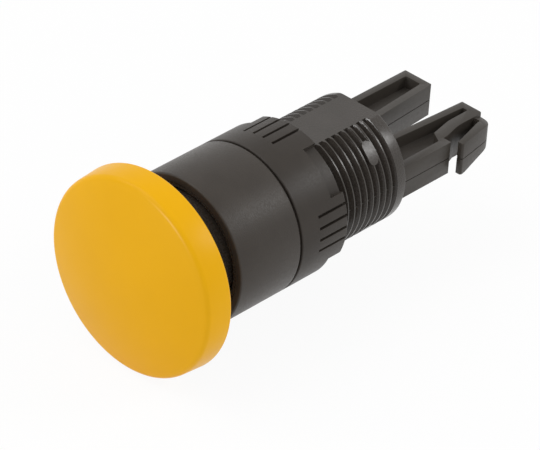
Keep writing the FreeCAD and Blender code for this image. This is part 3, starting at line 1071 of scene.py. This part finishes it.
@dataclass
class Studio:
    """Floor, soft light and camera."""

    azimuth: float = 41.266
    elevation: float = 34.087
    roll: float = 4.044
    distance: float = 486.656
    aim_right: float = 3.300
    aim_up: float = -0.473
    lens: float = 300.0
    floor_size: float = 3.0
    floor_gap: float = 0.05
    floor_grey: float = 0.93
    floor_glow: float = 0.93
    ambient: float = 0.58
    lamp_distance: float = 0.7
    lamps: tuple[Lamp, ...] = (
        Lamp("front_lamp", (-0.6, 0.8, 0.5), 0.6, 2.1),
        Lamp("glint_lamp", (-0.74, -0.13, 0.66), 0.12, 2.6, glints_only=True),
        Lamp("side_lamp", (0.855, 0.465, 0.225), 0.2, 1.1),
    )

    def level_axes(self) -> tuple[Vector, Vector, Vector]:
        """The camera's right, up and backward directions before its roll."""
        azimuth, elevation = math.radians(self.azimuth), math.radians(self.elevation)
        level = math.cos(elevation)
        back = Vector((math.sin(azimuth) * level, -math.cos(azimuth) * level, math.sin(elevation)))
        right = Vector((math.cos(azimuth), math.sin(azimuth), 0.0))
        return right, back.cross(right), back

    def axes(self) -> Matrix:
        """The camera's right, up and backward directions as columns."""
        right, up, back = self.level_axes()
        roll = math.radians(self.roll)
        turned_right = right * math.cos(roll) + up * math.sin(roll)
        turned_up = up * math.cos(roll) - right * math.sin(roll)
        return Matrix((turned_right, turned_up, back)).transposed()

    def add_camera(self) -> None:
        """Place the camera."""
        data = bpy.data.cameras.new("camera")
        data.lens = self.lens
        data.clip_start = 0.01
        camera = bpy.data.objects.new("camera", data)
        bpy.context.scene.collection.objects.link(camera)
        right, up, back = self.level_axes()
        camera.matrix_world = self.axes().to_4x4()
        camera.location = (back * self.distance + right * self.aim_right + up * self.aim_up) * MM
        bpy.context.scene.camera = camera

    def add_lamp(self, lamp: Lamp) -> None:
        """Place a lamp, turned towards the object."""
        data = bpy.data.lights.new(lamp.name, "AREA")
        data.shape = "SQUARE"
        data.size = lamp.size
        data.energy = lamp.power
        light = bpy.data.objects.new(lamp.name, data)
        bpy.context.scene.collection.objects.link(light)
        towards = (self.axes() @ Vector(lamp.direction)).normalized()
        light.location = towards * self.lamp_distance
        light.rotation_euler = towards.to_track_quat("Z", "Y").to_euler()
        light.visible_diffuse = not lamp.glints_only

    def seen(self, tree: bpy.types.NodeTree) -> bpy.types.NodeSocket:
        """Share of 1 for camera, glossy and transmission rays, and 0 for the light itself."""
        path = tree.nodes.new("ShaderNodeLightPath")
        share = path.outputs["Is Camera Ray"]
        for ray in ("Is Glossy Ray", "Is Transmission Ray"):
            either = tree.nodes.new("ShaderNodeMath")
            either.operation = "MAXIMUM"
            tree.links.new(share, either.inputs[0])
            tree.links.new(path.outputs[ray], either.inputs[1])
            share = either.outputs[0]
        return share

    def add_world(self) -> None:
        """White surroundings that light the object at a plain level."""
        world = bpy.data.worlds.new("surroundings")
        bpy.context.scene.world = world
        world.use_nodes = True
        tree = world.node_tree
        light = tree.nodes["Background"]
        light.inputs["Strength"].default_value = self.ambient
        shown = tree.nodes.new("ShaderNodeBackground")
        shown.inputs["Strength"].default_value = 1.0
        for node in (light, shown):
            node.inputs["Color"].default_value = (1.0, 1.0, 1.0, 1.0)
        mix = tree.nodes.new("ShaderNodeMixShader")
        tree.links.new(self.seen(tree), mix.inputs["Fac"])
        tree.links.new(light.outputs[0], mix.inputs[1])
        tree.links.new(shown.outputs[0], mix.inputs[2])
        tree.links.new(mix.outputs[0], tree.nodes["World Output"].inputs["Surface"])

    def add_floor(self) -> None:
        """A plain pale floor just under the cap's rim."""
        low, high = cad_size("mushroom_cap")
        place = (0.0, 0.0, (low.z - self.floor_gap) * MM)
        bpy.ops.object.select_all(action="DESELECT")
        bpy.ops.mesh.primitive_plane_add(size=self.floor_size, location=place)
        floor = bpy.context.object
        floor.name = "floor"
        shader = Shader("floor_white")
        shader.put(shader.surface.inputs["Base Color"], (*[self.floor_grey] * 3, 1.0))
        shader.put(shader.surface.inputs["Roughness"], 0.9)
        glow = shader.add("ShaderNodeEmission", {"Color": (1.0, 1.0, 1.0, 1.0), "Strength": 1.0})
        share = shader.add("ShaderNodeMath", operation="MULTIPLY")
        shader.put(share.inputs[0], self.seen(shader.tree))
        shader.put(share.inputs[1], self.floor_glow)
        mix = shader.add("ShaderNodeMixShader", {"Fac": share.outputs[0]})
        shader.put(mix.inputs[1], shader.surface.outputs[0])
        shader.put(mix.inputs[2], glow.outputs[0])
        shader.put(shader.tree.nodes["Material Output"].inputs["Surface"], mix.outputs[0])
        floor.data.materials.append(shader.material)

    def build(self) -> None:
        """Set up the whole studio."""
        bpy.context.scene.view_settings.view_transform = "Standard"
        self.add_camera()
        self.add_world()
        self.add_floor()
        for lamp in self.lamps:
            self.add_lamp(lamp)
        log.info("studio: camera, floor, %d lamps", len(self.lamps))


def main() -> None:
    """Build the studio and every piece in order."""
    Studio().build()
    MushroomCap().build()
    FrontCollar().build()
    PlungerStem().build()
    ThreadedBarrel().build()
    RingNut().build()
    SwitchFork().build()
    PlainNodes().dress()


if __name__ == "__main__":
    main()
